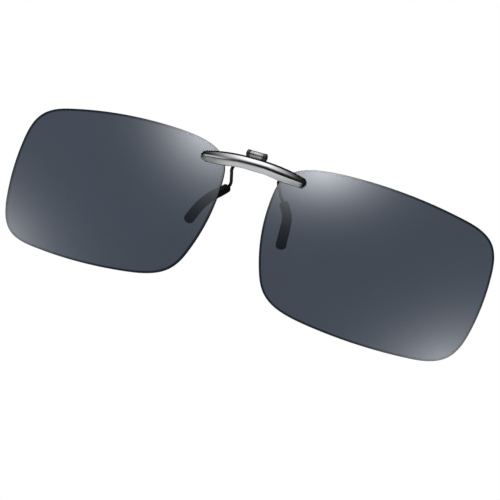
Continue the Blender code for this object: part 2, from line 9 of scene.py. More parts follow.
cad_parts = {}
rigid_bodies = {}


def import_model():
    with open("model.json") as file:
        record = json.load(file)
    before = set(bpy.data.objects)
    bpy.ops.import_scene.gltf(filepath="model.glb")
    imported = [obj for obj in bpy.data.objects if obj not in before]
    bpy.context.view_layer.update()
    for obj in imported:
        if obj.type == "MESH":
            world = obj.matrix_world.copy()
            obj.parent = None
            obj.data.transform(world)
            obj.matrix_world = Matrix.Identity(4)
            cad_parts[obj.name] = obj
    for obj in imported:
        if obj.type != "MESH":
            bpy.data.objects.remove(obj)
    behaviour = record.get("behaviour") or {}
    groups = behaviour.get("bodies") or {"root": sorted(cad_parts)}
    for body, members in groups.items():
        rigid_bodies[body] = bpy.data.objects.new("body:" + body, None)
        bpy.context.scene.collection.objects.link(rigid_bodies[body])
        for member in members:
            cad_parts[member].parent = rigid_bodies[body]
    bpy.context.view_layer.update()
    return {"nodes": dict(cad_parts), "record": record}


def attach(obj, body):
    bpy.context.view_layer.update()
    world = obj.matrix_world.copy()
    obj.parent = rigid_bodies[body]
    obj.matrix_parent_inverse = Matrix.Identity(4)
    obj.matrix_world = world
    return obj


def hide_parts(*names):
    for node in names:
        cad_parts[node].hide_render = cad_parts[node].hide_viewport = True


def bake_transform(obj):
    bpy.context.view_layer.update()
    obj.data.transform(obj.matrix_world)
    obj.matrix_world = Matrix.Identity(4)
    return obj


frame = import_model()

# Every length below is in millimetres from the lens datum, the point midway
# between the lens centres; ORIGIN moves it to the row frame, in metres.
MM = 0.001
ORIGIN = Vector((0.0, -2.0, 15.5))

LENS_CX = 36.688
WRAP = math.radians(10.4)
LENS_R = 240.0
LENS_T = 0.8
CORNER = [(-23.38, -18.0), (26.35, -18.31), (28.48, 16.76), (-28.45, 18.48)]
BOW = [2.44, 2.48, 2.92, 3.69]
SETBACK = [(7.25, 11.4), (9.68, 9.64), (8.84, 9.1), (17.21, 7.7)]
FILLET = 0.76
SCREW_X = (10.9, 13.2)
SCREW_Z = (14.75, 14.55)
SCREW_R = 0.4
SCREW_HEAD_R = 0.72
BUSH_R_IN = 0.46
BUSH_R_OUT = 0.8
BUSH_HEAD_R = 1.0
LENS_HOLE_R = 0.85
PLATE_T = 0.35
BAR_HALF = 14.5
BAR_FRONT = -6.0
BAR_SLOPE = 0.16
BAR_STRAIGHT = 6.8
BAR_T = 1.2
FLIP_Y, FLIP_Z = -4.35, 18.35
BARREL_R = 1.0
BARREL_HALF = 1.5
EAR_R = 1.05
CHEEK_IN, CHEEK_OUT = 1.77, 2.6
FLIP_PIN_R = 0.4
WASHER = (1.55, 1.73)
JAW_Y, JAW_Z = 0.45, 17.05
HUB_R = 0.8
CHEEK_R = 0.9
LEVER_HALF = 1.6
JAW_PIN_R = 0.45
LOWER_Z = 15.5
LOWER_R = 0.62
TAB_HALF = 1.25
TAB_TOP = 20.05
WIRE_R = 0.4
WIRE_BORE = 0.43
LEG = [
    (0.12, 0.45, 15.5),
    (5.1, 0.45, 15.5),
    (6.0, 0.45, 15.25),
    (6.4, 0.4, 14.6),
    (6.5, 0.6, 13.8),
    (6.56, 1.55, 13.3),
    (6.76, 3.6, 12.45),
    (7.0, 5.8, 11.4),
    (7.65, 7.25, 10.5),
    (8.9, 6.95, 8.9),
    (10.2, 5.45, 6.95),
    (11.1, 3.6, 4.9),
    (11.85, 1.4, 2.3),
    (12.4, -0.15, -0.4),
    (12.75, -0.95, -2.15),
    (12.93, -1.1, -2.95),
]
HEAD_AT = (7.65, 7.25, 10.5)
WIRE_END = (12.1, 0.7, 1.2)
SLEEVE_R = (1.21, 1.37)
SLEEVE_BORE = 0.45
PAD_X = (4.4, 7.3)
PAD_Z = (14.75, 16.35)
PAD_BACK = -2.0
WING_Y = (-3.75, -3.25)
COIL_R = 0.68
COIL_WIRE = 0.15
COIL_X = (0.47, 1.43)
COIL_TURNS = 3


# ================================================================ materials
class Mat:
    """A Principled material with short helpers for procedural detail."""

    def __init__(self, name, **values):
        self.m = bpy.data.materials.new(name)
        self.m.use_nodes = True
        self.t = self.m.node_tree
        self.b = self.t.nodes["Principled BSDF"]
        self.coords = self.t.nodes.new("ShaderNodeTexCoord")
        for k, v in values.items():
            self.set(k.replace("_", " "), v)

    def set(self, socket, value):
        s = self.b.inputs[socket]
        s.default_value = (*value, 1.0) if hasattr(value, "__len__") and len(value) == 3 else value

    def node(self, kind, **values):
        n = self.t.nodes.new(kind)
        for k, v in values.items():
            if k.startswith("in_"):
                key = k[3:]
                n.inputs[int(key) if key.isdigit() else key.replace("_", " ")].default_value = v
            else:
                setattr(n, k, v)
        return n

    def link(self, a, b):
        self.t.links.new(a, b)
        return b

    def noise(self, scale, detail=4.0, rough=0.55, stretch=(1, 1, 1), offset=0.0):
        """Noise in object space; scale is per metre."""
        mp = self.node("ShaderNodeMapping")
        mp.inputs["Scale"].default_value = [scale * s for s in stretch]
        mp.inputs["Location"].default_value = (offset, offset * 0.37, -offset * 0.61)
        self.link(self.coords.outputs["Object"], mp.inputs["Vector"])
        n = self.node("ShaderNodeTexNoise")
        n.inputs["Scale"].default_value = 1.0
        n.inputs["Detail"].default_value = detail
        n.inputs["Roughness"].default_value = rough
        self.link(mp.outputs["Vector"], n.inputs["Vector"])
        return n.outputs["Fac"]

    def remap(self, value, low, high, a=0.3, b=0.7):
        r = self.node("ShaderNodeMapRange")
        r.inputs["From Min"].default_value = a
        r.inputs["From Max"].default_value = b
        r.inputs["To Min"].default_value = low
        r.inputs["To Max"].default_value = high
        self.link(value, r.inputs["Value"])
        return r.outputs["Result"]

    def rough(self, value, low, high, a=0.3, b=0.7):
        self.link(self.remap(value, low, high, a, b), self.b.inputs["Roughness"])

    def tint(self, value, dark, light, a=0.3, b=0.7):
        r = self.node("ShaderNodeValToRGB")
        e = r.color_ramp.elements
        e[0].position, e[1].position = a, b
        e[0].color, e[1].color = (*dark, 1), (*light, 1)
        self.link(value, r.inputs["Fac"])
        self.link(r.outputs["Color"], self.b.inputs["Base Color"])

    def bump(self, value, strength, distance):
        n = self.node("ShaderNodeBump")
        n.inputs["Strength"].default_value = strength
        n.inputs["Distance"].default_value = distance
        self.link(value, n.inputs["Height"])
        self.link(n.outputs["Normal"], self.b.inputs["Normal"])


def lens_material():
    m = Mat("tinted_lens", Metallic=0.0, IOR=1.53)
    m.set("Transmission Weight", 1.0)
    m.set("Specular IOR Level", 0.5)
    smear = m.noise(55, 5, 0.6, (1, 1, 2.2))
    m.rough(smear, 0.0, 0.018, 0.45, 0.75)
    m.tint(m.noise(18, 2, 0.5, offset=3.0), LENS_DARK, LENS_LIGHT, 0.35, 0.65)
    return m.m


LENS_DARK = (0.0511, 0.0611, 0.0792)
LENS_LIGHT = (0.0561, 0.0671, 0.0872)


def lens_ring_material():
    m = Mat("lens_ring_painted_shade", Metallic=0.0, IOR=1.53)
    m.set("Transmission Weight", 1.0)
    m.rough(m.noise(120, 4, 0.6, offset=2.0), 0.0, 0.03, 0.4, 0.8)
    # the near-black tint is painted shade: it stands in for the dark line that the rim shows where light is
    # bent away
    m.tint(m.noise(300, 3, offset=1.0), (0.005, 0.007, 0.010), (0.009, 0.012, 0.017))
    return m.m


def lens_edge_material():
    m = Mat("lens_edge_painted_shade", Metallic=0.0, IOR=1.5)
    # the near-black tint on the edge wall and its bevels is painted shade for the dark look of the glass
    # edge
    m.tint(m.noise(900, 3), (0.004, 0.0045, 0.006), (0.012, 0.013, 0.016))
    m.rough(m.noise(2500, 4, offset=5.0), 0.22, 0.42)
    return m.m


def gunmetal_material():
    m = Mat("gunmetal", Metallic=1.0)
    grain = m.noise(5200, 5, 0.6, (0.035, 1, 1))
    m.tint(grain, (0.40, 0.405, 0.42), (0.47, 0.475, 0.485), 0.35, 0.65)
    m.rough(m.noise(3000, 4, 0.6, (0.05, 1, 1), 2.0), 0.07, 0.14)
    m.bump(grain, 0.05, 0.00001)
    return m.m


def gunmetal_lip_material():
    """The bar's top lip, tinted near-black: painted shade for the top face, which turns away from the
    light.
    """
    m = Mat("gunmetal_lip_painted_shade", Metallic=1.0)
    grain = m.noise(5200, 4, 0.6, (0.035, 1, 1))
    # near-black tint is painted shade on the top lip
    m.tint(grain, (0.011, 0.011, 0.012), (0.02, 0.02, 0.022))
    m.rough(m.noise(3000, 4, 0.6, (0.05, 1, 1), 2.0), 0.2, 0.32)
    return m.m


def bright_steel_material():
    m = Mat("bright_steel", Metallic=1.0)
    grain = m.noise(6500, 5, 0.6, (1, 0.2, 0.2))
    m.tint(grain, (0.37, 0.37, 0.38), (0.54, 0.54, 0.55), 0.3, 0.7)
    m.rough(m.noise(4200, 4, offset=1.0), 0.36, 0.52)
    m.bump(grain, 0.12, 0.00001)
    return m.m


def black_metal_material():
    m = Mat("black_metal", Metallic=0.0, IOR=1.5)
    m.tint(m.noise(2600, 4), (0.009, 0.009, 0.01), (0.017, 0.017, 0.019))
    m.rough(m.noise(5200, 5, offset=4.0), 0.26, 0.42)
    m.bump(m.noise(9000, 3, offset=7.0), 0.18, 0.00001)
    m.set("Specular IOR Level", 0.36)
    m.set("Coat Weight", 0.15)
    m.set("Coat Roughness", 0.18)
    return m.m


def black_wire_material():
    m = Mat("black_wire", Metallic=0.0, IOR=1.5)
    m.tint(m.noise(3000, 4), (0.003, 0.003, 0.0034), (0.006, 0.006, 0.0065))
    m.rough(m.noise(6000, 4, 0.6, offset=2.0), 0.24, 0.38)
    m.bump(m.noise(12000, 2, offset=9.0), 0.1, 0.00001)
    return m.m


def rubber_material():
    m = Mat("black_rubber", Metallic=0.0, IOR=1.5)
    m.set("Specular IOR Level", 0.2)
    m.tint(m.noise(1400, 5, 0.6), (0.0026, 0.0026, 0.0028), (0.0052, 0.0052, 0.0055))
    m.rough(m.noise(2400, 4, offset=3.0), 0.5, 0.72)
    m.bump(m.noise(9000, 5, 0.65, offset=6.0), 0.3, 0.00002)
    return m.m


def nylon_material():
    m = Mat("clear_nylon", Metallic=0.0, IOR=1.53)
    m.set("Transmission Weight", 0.55)
    m.tint(m.noise(1500, 3), (0.72, 0.73, 0.75), (0.84, 0.85, 0.86))
    m.rough(m.noise(3500, 3, offset=4.0), 0.28, 0.42)
    return m.m


def spring_steel_material():
    m = Mat("spring_steel", Metallic=1.0)
    draw = m.noise(5000, 4, 0.6)
    m.tint(draw, (0.38, 0.38, 0.39), (0.55, 0.55, 0.56))
    m.rough(m.noise(7000, 4, offset=1.0), 0.2, 0.36)
    return m.m


MAT = {
    "tinted_lens": lens_material(),
    "lens_ring_painted_shade": lens_ring_material(),
    "lens_edge_painted_shade": lens_edge_material(),
    "gunmetal": gunmetal_material(),
    "gunmetal_lip_painted_shade": gunmetal_lip_material(),
    "bright_steel": bright_steel_material(),
    "black_metal": black_metal_material(),
    "black_wire": black_wire_material(),
    "black_rubber": rubber_material(),
    "clear_nylon": nylon_material(),
    "spring_steel": spring_steel_material(),
}

# the CAD nodes get the same finishes, in case one shows
for part in frame["record"]["subparts"]:
    node = frame["nodes"][part["node"]]
    for s in range(max(1, len(node.material_slots))):
        if node.material_slots:
            node.material_slots[s].material = MAT[part["material_slot"]]


# ============================================================== mesh helpers
def world(p):
    return (Vector(p) - ORIGIN) * MM


def place(name, bm, slot, body, node, angle=35.0, bevel=0.0, more=()):
    """A finished piece from a bmesh in millimetres, riding on a body if one is given."""
    bmesh.ops.recalc_face_normals(bm, faces=bm.faces)
    for v in bm.verts:
        v.co = world(v.co)
    if bevel:
        edges = [
            e
            for e in bm.edges
            if len(e.link_faces) == 2 and e.calc_face_angle(0.0) > math.radians(38)
        ]
        bmesh.ops.bevel(
            bm,
            geom=edges,
            offset=bevel * MM,
            segments=2,
            profile=0.6,
            affect="EDGES",
            clamp_overlap=True,
        )
    for f in bm.faces:
        f.smooth = True
    for e in bm.edges:
        e.smooth = len(e.link_faces) == 2 and e.calc_face_angle(0.0) < math.radians(angle)
    mesh = bpy.data.meshes.new(name)
    bm.to_mesh(mesh)
    bm.free()
    mesh.materials.append(MAT[slot])
    for extra in more:
        mesh.materials.append(MAT[extra])
    obj = bpy.data.objects.new(name, mesh)
    bpy.context.scene.collection.objects.link(obj)
    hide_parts(node)
    if body:
        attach(obj, body)
    return obj


def prism(outline, low, high, axis="X"):
    bm = bmesh.new()
    at = {
        "X": lambda a, b, t: (t, a, b),
        "Y": lambda a, b, t: (a, t, b),
        "Z": lambda a, b, t: (a, b, t),
    }[axis]
    first = [bm.verts.new(at(a, b, low)) for a, b in outline]
    last = [bm.verts.new(at(a, b, high)) for a, b in outline]
    n = len(outline)
    bm.faces.new(first)
    bm.faces.new(last[::-1])
    for i in range(n):
        bm.faces.new((first[i], first[(i + 1) % n], last[(i + 1) % n], last[i]))
    bmesh.ops.recalc_face_normals(bm, faces=bm.faces)
    return bm


def box(low, high):
    return prism(
        [(low[0], low[1]), (high[0], low[1]), (high[0], high[1]), (low[0], high[1])],
        low[2],
        high[2],
        "Z",
    )


def ring(a, b, r, n=64, start=0.0, sweep=360.0):
    full = abs(sweep) >= 360.0
    steps = n if full else n - 1
    return [
        (
            a + r * math.cos(math.radians(start + sweep * i / steps)),
            b + r * math.sin(math.radians(start + sweep * i / steps)),
        )
        for i in range(n)
    ]


def rounded(a0, a1, b0, b1, r, n=8):
    pts = []
    for ca, cb, s in (
        (a1 - r, b0 + r, -90),
        (a1 - r, b1 - r, 0),
        (a0 + r, b1 - r, 90),
        (a0 + r, b0 + r, 180),
    ):
        pts += ring(ca, cb, r, n + 1, s, 90)
    return pts


def spin(profile, centre, axis, n=56):
    bm = bmesh.new()
    a = Vector(axis).normalized()
    u = a.orthogonal().normalized()
    w = a.cross(u)
    rows = []
    for t, r in profile:
        if r <= 1e-9:
            rows.append([bm.verts.new(Vector(centre) + a * t)])
        else:
            rows.append(
                [
                    bm.verts.new(
                        Vector(centre)
                        + a * t
                        + (u * math.cos(2 * math.pi * k / n) + w * math.sin(2 * math.pi * k / n))
                        * r
                    )
                    for k in range(n)
                ]
            )
    pairs = list(zip(rows, rows[1:]))
    if profile[0][1] > 1e-9:
        pairs.append((rows[-1], rows[0]))
    for p, q in pairs:
        for k in range(n):
            j = (k + 1) % n
            face = []
            for v in (p[k % len(p)], p[j % len(p)], q[j % len(q)], q[k % len(q)]):
                if v not in face:
                    face.append(v)
            if len(face) > 2:
                bm.faces.new(face)
    bmesh.ops.recalc_face_normals(bm, faces=bm.faces)
    return bm


def combine(bm, adds=(), cuts=()):
    base = bpy.data.objects.new("work", bpy.data.meshes.new("work"))
    bm.to_mesh(base.data)
    bm.free()
    bpy.context.scene.collection.objects.link(base)
    tools = []
    for kind, group in (("UNION", adds), ("DIFFERENCE", cuts)):
        for b in group:
            t = bpy.data.objects.new("cutter", bpy.data.meshes.new("cutter"))
            b.to_mesh(t.data)
            b.free()
            bpy.context.scene.collection.objects.link(t)
            m = base.modifiers.new("cut", "BOOLEAN")
            m.object = t
            m.operation = kind
            m.solver = "EXACT"
            tools.append(t)
    graph = bpy.context.evaluated_depsgraph_get()
    mesh = bpy.data.meshes.new_from_object(base.evaluated_get(graph))
    out = bmesh.new()
    out.from_mesh(mesh)
    for o in [base, *tools]:
        data = o.data
        bpy.data.objects.remove(o, do_unlink=True)
        bpy.data.meshes.remove(data)
    bpy.data.meshes.remove(mesh)
    bmesh.ops.remove_doubles(out, verts=out.verts, dist=1e-4)
    bmesh.ops.dissolve_degenerate(out, dist=1e-5, edges=out.edges)
    return out


def curve_through(points, per=8):
    p = [np.array(q, float) for q in points]
    p = [2 * p[0] - p[1], *p, 2 * p[-1] - p[-2]]
    out = []
    for i in range(1, len(p) - 2):
        a, b, c, d = p[i - 1 : i + 3]
        t = [0.0]
        for u, v in ((a, b), (b, c), (c, d)):
            t.append(t[-1] + max(np.linalg.norm(v - u), 1e-6) ** 0.5)
        for k in range(per):
            s = t[1] + (t[2] - t[1]) * k / per
            a1 = a * (t[1] - s) / (t[1] - t[0]) + b * (s - t[0]) / (t[1] - t[0])
            a2 = b * (t[2] - s) / (t[2] - t[1]) + c * (s - t[1]) / (t[2] - t[1])
            a3 = c * (t[3] - s) / (t[3] - t[2]) + d * (s - t[2]) / (t[3] - t[2])
            b1 = a1 * (t[2] - s) / (t[2] - t[0]) + a2 * (s - t[0]) / (t[2] - t[0])
            b2 = a2 * (t[3] - s) / (t[3] - t[1]) + a3 * (s - t[1]) / (t[3] - t[1])
            out.append(b1 * (t[2] - s) / (t[2] - t[1]) + b2 * (s - t[1]) / (t[2] - t[1]))
    out.append(p[-2])
    return out


def frames(path):
    tang = []
    for i in range(len(path)):
        d = path[min(i + 1, len(path) - 1)] - path[max(i - 1, 0)]
        tang.append(d / np.linalg.norm(d))
    side = np.cross(tang[0], [0.0, 0.0, 1.0])
    if np.linalg.norm(side) < 1e-3:
        side = np.cross(tang[0], [0.0, 1.0, 0.0])
    out = []
    for t in tang:
        side = side - t * np.dot(side, t)
        side = side / np.linalg.norm(side)
        out.append((side, np.cross(t, side)))
    return out


def tube(path, radii, n=24, caps=True):
    bm = bmesh.new()
    rows = []
    for p, r, (u, w) in zip(path, radii, frames(path)):
        rows.append(
            [
                bm.verts.new(
                    p + r * (u * math.cos(2 * math.pi * k / n) + w * math.sin(2 * math.pi * k / n))
                )
                for k in range(n)
            ]
        )
    bm.faces.new(rows[0][::-1])
    bm.faces.new(rows[-1])
    for p, q in zip(rows, rows[1:]):
        for k in range(n):
            j = (k + 1) % n
            bm.faces.new((p[k], p[j], q[j], q[k]))
    bmesh.ops.recalc_face_normals(bm, faces=bm.faces)
    return bm


# ==================================================================== lenses
def lens_outline(n=26):
    V = np.array(CORNER)

    def edge(i, t):
        a, b = V[i], V[(i + 1) % 4]
        d = b - a
        nrm = np.array([d[1], -d[0]]) / np.hypot(*d)
        tan = d + nrm * 4 * BOW[i] * (1 - 2 * t)
        return a + d * t + nrm * 4 * BOW[i] * t * (1 - t), tan / np.hypot(*tan)

    pts = []
    for i in range(4):
        size = np.hypot(*(V[(i + 1) % 4] - V[i]))
        j = (i + 1) % 4
        size2 = np.hypot(*(V[(j + 1) % 4] - V[j]))
        t0, t1 = SETBACK[i][1] / size, 1 - SETBACK[j][0] / size
        for t in np.linspace(t0, t1, n, endpoint=False):
            pts.append(edge(i, t)[0])
        p, tp = edge(i, t1)
        q, tq = edge(j, SETBACK[j][1] / size2)
        ab = np.linalg.solve(np.array([tp, tq]).T, q - p)
        c1, c2 = p + tp * ab[0] * FILLET, q - tq * ab[1] * FILLET
        for t in np.linspace(0, 1, n + 4, endpoint=False):
            pts.append((1 - t) ** 3 * p + 3 * (1 - t) ** 2 * t * c1 + 3 * (1 - t) * t * t * c2 + t**3 * q)
    return np.array(pts)


def lens_point(u, v, depth, side):
    s = (u * u + v * v) / (2 * LENS_R)
    nu, nv = -u / LENS_R, -v / LENS_R
    size = math.sqrt(1 + nu * nu + nv * nv)
    u, s, v = u + depth * nu / size, s + depth / size, v + depth * nv / size
    x = LENS_CX + u * math.cos(WRAP) - s * math.sin(WRAP)
    y = u * math.sin(WRAP) + s * math.cos(WRAP)
    return Vector((side * x, y, v))


def lens_uv(x, z):
    u, v = (x - LENS_CX) / math.cos(WRAP), z
    for _ in range(20):
        s = (u * u + v * v) / (2 * LENS_R)
        u = (x - LENS_CX + s * math.sin(WRAP)) / math.cos(WRAP)
    return u, v


def lens_normal(u, v, side):
    return (lens_point(u, v, 1.0, side) - lens_point(u, v, 0.0, side)).normalized()


def screw_axis(i, side):
    u, v = lens_uv(SCREW_X[i], SCREW_Z[i])
    return lens_point(u, v, 0.0, side), lens_normal(u, v, side)


EDGE_BEVEL = 0.08
EDGE_SHADE_RING = 0.52


def build_lens(name, side):
    """Curved lens with its two screw holes.  Round the rim runs a ring tinted darker, painted shade for
    the light that the polished back bevel bends away, then a fine bevel to the edge wall, painted
    near-black as shade."""
    outline = lens_outline()
    n = len(outline)
    tang = np.roll(outline, -1, 0) - np.roll(outline, 1, 0)
    tang /= np.linalg.norm(tang, axis=1)[:, None]
    inward = np.stack([-tang[:, 1], tang[:, 0]], 1)
    edge = outline + inward * EDGE_BEVEL
    inner = outline + inward * EDGE_SHADE_RING
    bm = bmesh.new()
    shrink = (1.0, 0.985, 0.94, 0.86, 0.75, 0.62, 0.48, 0.33, 0.18, 0.08)
    sheets = []
    for depth in (0.0, LENS_T):
        rows = [[bm.verts.new(lens_point(*p, depth, side)) for p in edge]]
        rows += [[bm.verts.new(lens_point(*(f * p), depth, side)) for p in inner] for f in shrink]
        mid = bm.verts.new(lens_point(0, 0, depth, side))
        for i, (p, q) in enumerate(zip(rows, rows[1:])):
            for k in range(n):
                j = (k + 1) % n
                f = bm.faces.new((p[k], p[j], q[j], q[k]))
                # the outer band of each face takes the dark ring material: painted shade
                f.material_index = 1 if i == 0 else 0
        for k in range(n):
            bm.faces.new((rows[-1][k], rows[-1][(k + 1) % n], mid))
        sheets.append(rows[0])
    rim = [
        [bm.verts.new(lens_point(*p, d, side)) for p in outline]
        for d in (EDGE_BEVEL, LENS_T * 0.5, LENS_T - EDGE_BEVEL)
    ]
    chain = [sheets[0], *rim, sheets[1]]
    for p, q in zip(chain, chain[1:]):
        for k in range(n):
            j = (k + 1) % n
            f = bm.faces.new((p[k], p[j], q[j], q[k]))
            # the edge wall takes the near-black edge material: painted shade
            f.material_index = 2
    bmesh.ops.recalc_face_normals(bm, faces=bm.faces)
    cuts = []
    for i in (0, 1):
        p, d = screw_axis(i, side)
        cuts.append(spin([(-2, 0), (-2, LENS_HOLE_R), (3, LENS_HOLE_R), (3, 0)], p, d, 40))
    bm = combine(bm, cuts=cuts)
    obj = place(
        name,
        bm,
        "tinted_lens",
        "lens_assembly",
        name.replace("_glass", ""),
        30,
        more=("lens_ring_painted_shade", "lens_edge_painted_shade"),
    )
    # the two faces take the exact normals of their sphere, so reflections run smoothly
    mesh = obj.data
    normals = [Vector(c.vector) for c in mesh.corner_normals]
    for poly in mesh.polygons:
        if poly.material_index == 2:
            continue
        for li in poly.loop_indices:
            co = mesh.vertices[mesh.loops[li].vertex_index].co / MM + ORIGIN
            x, y = side * co.x - LENS_CX, co.y
            u = x * math.cos(WRAP) + y * math.sin(WRAP)
            v = co.z
            nrm = Vector((-u / LENS_R, 1.0, -v / LENS_R)).normalized()
            back = Vector(
                (
                    side * (nrm.x * math.cos(WRAP) - nrm.y * math.sin(WRAP)),
                    nrm.x * math.sin(WRAP) + nrm.y * math.cos(WRAP),
                    nrm.z,
                )
            )
            if abs(poly.normal.dot(back)) > 0.9:
                normals[li] = back if poly.normal.dot(back) > 0 else -back
    mesh.normals_split_custom_set(normals)
    return obj


# ================================================================ bridge bar
def bar_front(x):
    x = abs(x)
    bow = BAR_SLOPE * min(x, BAR_STRAIGHT) ** 2 / (2 * BAR_STRAIGHT)
    return BAR_FRONT + bow + BAR_SLOPE * max(x - BAR_STRAIGHT, 0.0)


def bar_back(x):
    return bar_front(x) + BAR_T


def bar_top(x):
    return 17.36 - 1.3 * (abs(x) / 13.7) ** 2.6


def bar_bottom(x):
    x = abs(x)
    return 14.05 - 0.74 * min(x / 8.2, 1.0) ** 2.6 + 0.03 * max(0.0, x - 8.2)


def bar_section():
    """(depth, height) round the section: flat back, rolled lower lip, gently
    crowned lower facet, softened crease, then a rounded upper face to a top lip."""
    tall = 3.3 / BAR_T
    lower = []
    d, h = 0.0, 0.42
    for k in range(8):  # softened crease
        lean = math.radians(24 * (k + 0.5) / 8)
        d, h = d + 0.0075 * tall * math.tan(lean), h - 0.0075
        lower.append((d, h))
    for k in range(8):  # crowned facet
        lean = math.radians(24 + 9 * (k + 0.5) / 8)
        d, h = d + 0.0375 * tall * math.tan(lean), h - 0.0375
        lower.append((d, h))
    pts = [(1.0, 0.03), (0.97, 0.0), (d + 0.16, 0.0), (d + 0.08, 0.012), (d + 0.03, 0.035)]
    pts += lower[::-1]
    d, rows = 0.0, 20
    pts += [(0.0, 0.42), (0.0, 0.48)]
    for k in range(rows):  # rounded upper face, turning faster towards its top edge
        s = math.sin(math.radians(76 * (k + 0.5) / rows))
        rise = math.sin(math.radians(76 * (k + 1) / rows)) - math.sin(math.radians(76 * k / rows))
        d += 0.52 * rise * tall * 0.5 * s / math.sqrt(1 - s * s) * (1 + 1.1 * s**5)
        pts.append((d, pts[-1][1] + 0.52 * rise))
    pts += [(d + 0.06, 0.994), (d + 0.1, 1.0), (0.97, 1.0), (1.0, 0.97)]
    return pts


def bar_lower(x):
    """Lower edge of the polished bar, eased where the curve meets the straight."""
    return sum(bar_bottom(abs(x) + 0.25 * k) for k in range(-9, 10)) / 19 if abs(x) > 4 else bar_bottom(x)


def bar_face(x):
    """Front of the polished bar: one even bow from end to end."""
    return BAR_FRONT + (bar_front(BAR_HALF) - BAR_FRONT) * (x / BAR_HALF) ** 2


def build_bar():
    section = bar_section()
    end = 2.0
    xs = list(np.linspace(0.0, BAR_HALF - end, 36))
    xs += [BAR_HALF - end + end * math.sin(math.radians(a)) for a in np.linspace(5, 88, 22)]
    xs = [-x for x in xs[:0:-1]] + xs
    bm = bmesh.new()
    rows = []
    for x in xs:
        t = min(max(0.0, (abs(x) - (BAR_HALF - end)) / end), 1.0)
        t_top = max(0.0, (abs(x) - (BAR_HALF - 1.35)) / 1.35)
        keep = max(1.0 - t**2.3, 0.0) ** (1 / 2.3)
        keep_top = max(1.0 - min(t_top, 1.0) ** 2.8, 0.0) ** (1 / 2.8)
        zt, zb = bar_top(x) + 0.1, bar_lower(x)
        mid = zb + 0.44 * (zt - zb)
        zt, zb = mid + (zt - mid) * keep_top, mid + (zb - mid) * keep
        back = bar_back(x)
        front = back - (back - bar_face(x)) * (0.45 + 0.55 * keep_top)
        rows.append(
            [bm.verts.new((x, front + (back - front) * d, zb + (zt - zb) * h)) for d, h in section]
        )
    m = len(section)
    bm.verts.index_update()
    for p, q in zip(rows, rows[1:]):
        for k in range(m):
            j = (k + 1) % m
            bm.faces.new((p[k], p[j], q[j], q[k]))
    bm.faces.new(rows[0][::-1])
    bm.faces.new(rows[-1])
    heights = [h for d, h in section]
    # faces high on the section (the top lip) take the near-black lip material: painted shade where the top
    # face lies in shadow
    for f in bm.faces:
        ks = [v.index for v in f.verts]
        if len(ks) == 4 and min(heights[k % m] for k in ks) > 0.82:
            f.material_index = 1
    bar = place(
        "bridge_bar_polished", bm, "gunmetal", "lens_assembly", "bridge_bar", 24, more=("gunmetal_lip_painted_shade",)
    )
    bar.visible_glossy = False  # the lenses don't mirror its dark back
    return bar


# ================================================================ small parts
def slotted(bm, centre, axis, across, width, depth, head):
    """Cuts a screwdriver slot into a head whose top is at distance head along the axis."""
    a = Vector(axis).normalized()
    u = (Vector(across) - a * Vector(across).dot(a)).normalized()
    w = a.cross(u)
    c = Vector(centre) + a * head
    cut = bmesh.new()
    corners = []
    for t in (-depth, 0.4):
        for s1, s2 in ((-1, -1), (1, -1), (1, 1), (-1, 1)):
            corners.append(cut.verts.new(c + a * t + u * s1 * 1.2 + w * s2 * width / 2))
    for f in ((0, 1, 2, 3), (7, 6, 5, 4), (0, 4, 5, 1), (1, 5, 6, 2), (2, 6, 7, 3), (3, 7, 4, 0)):
        cut.faces.new([corners[i] for i in f])
    bmesh.ops.recalc_face_normals(cut, faces=cut.faces)
    return combine(bm, cuts=[cut])


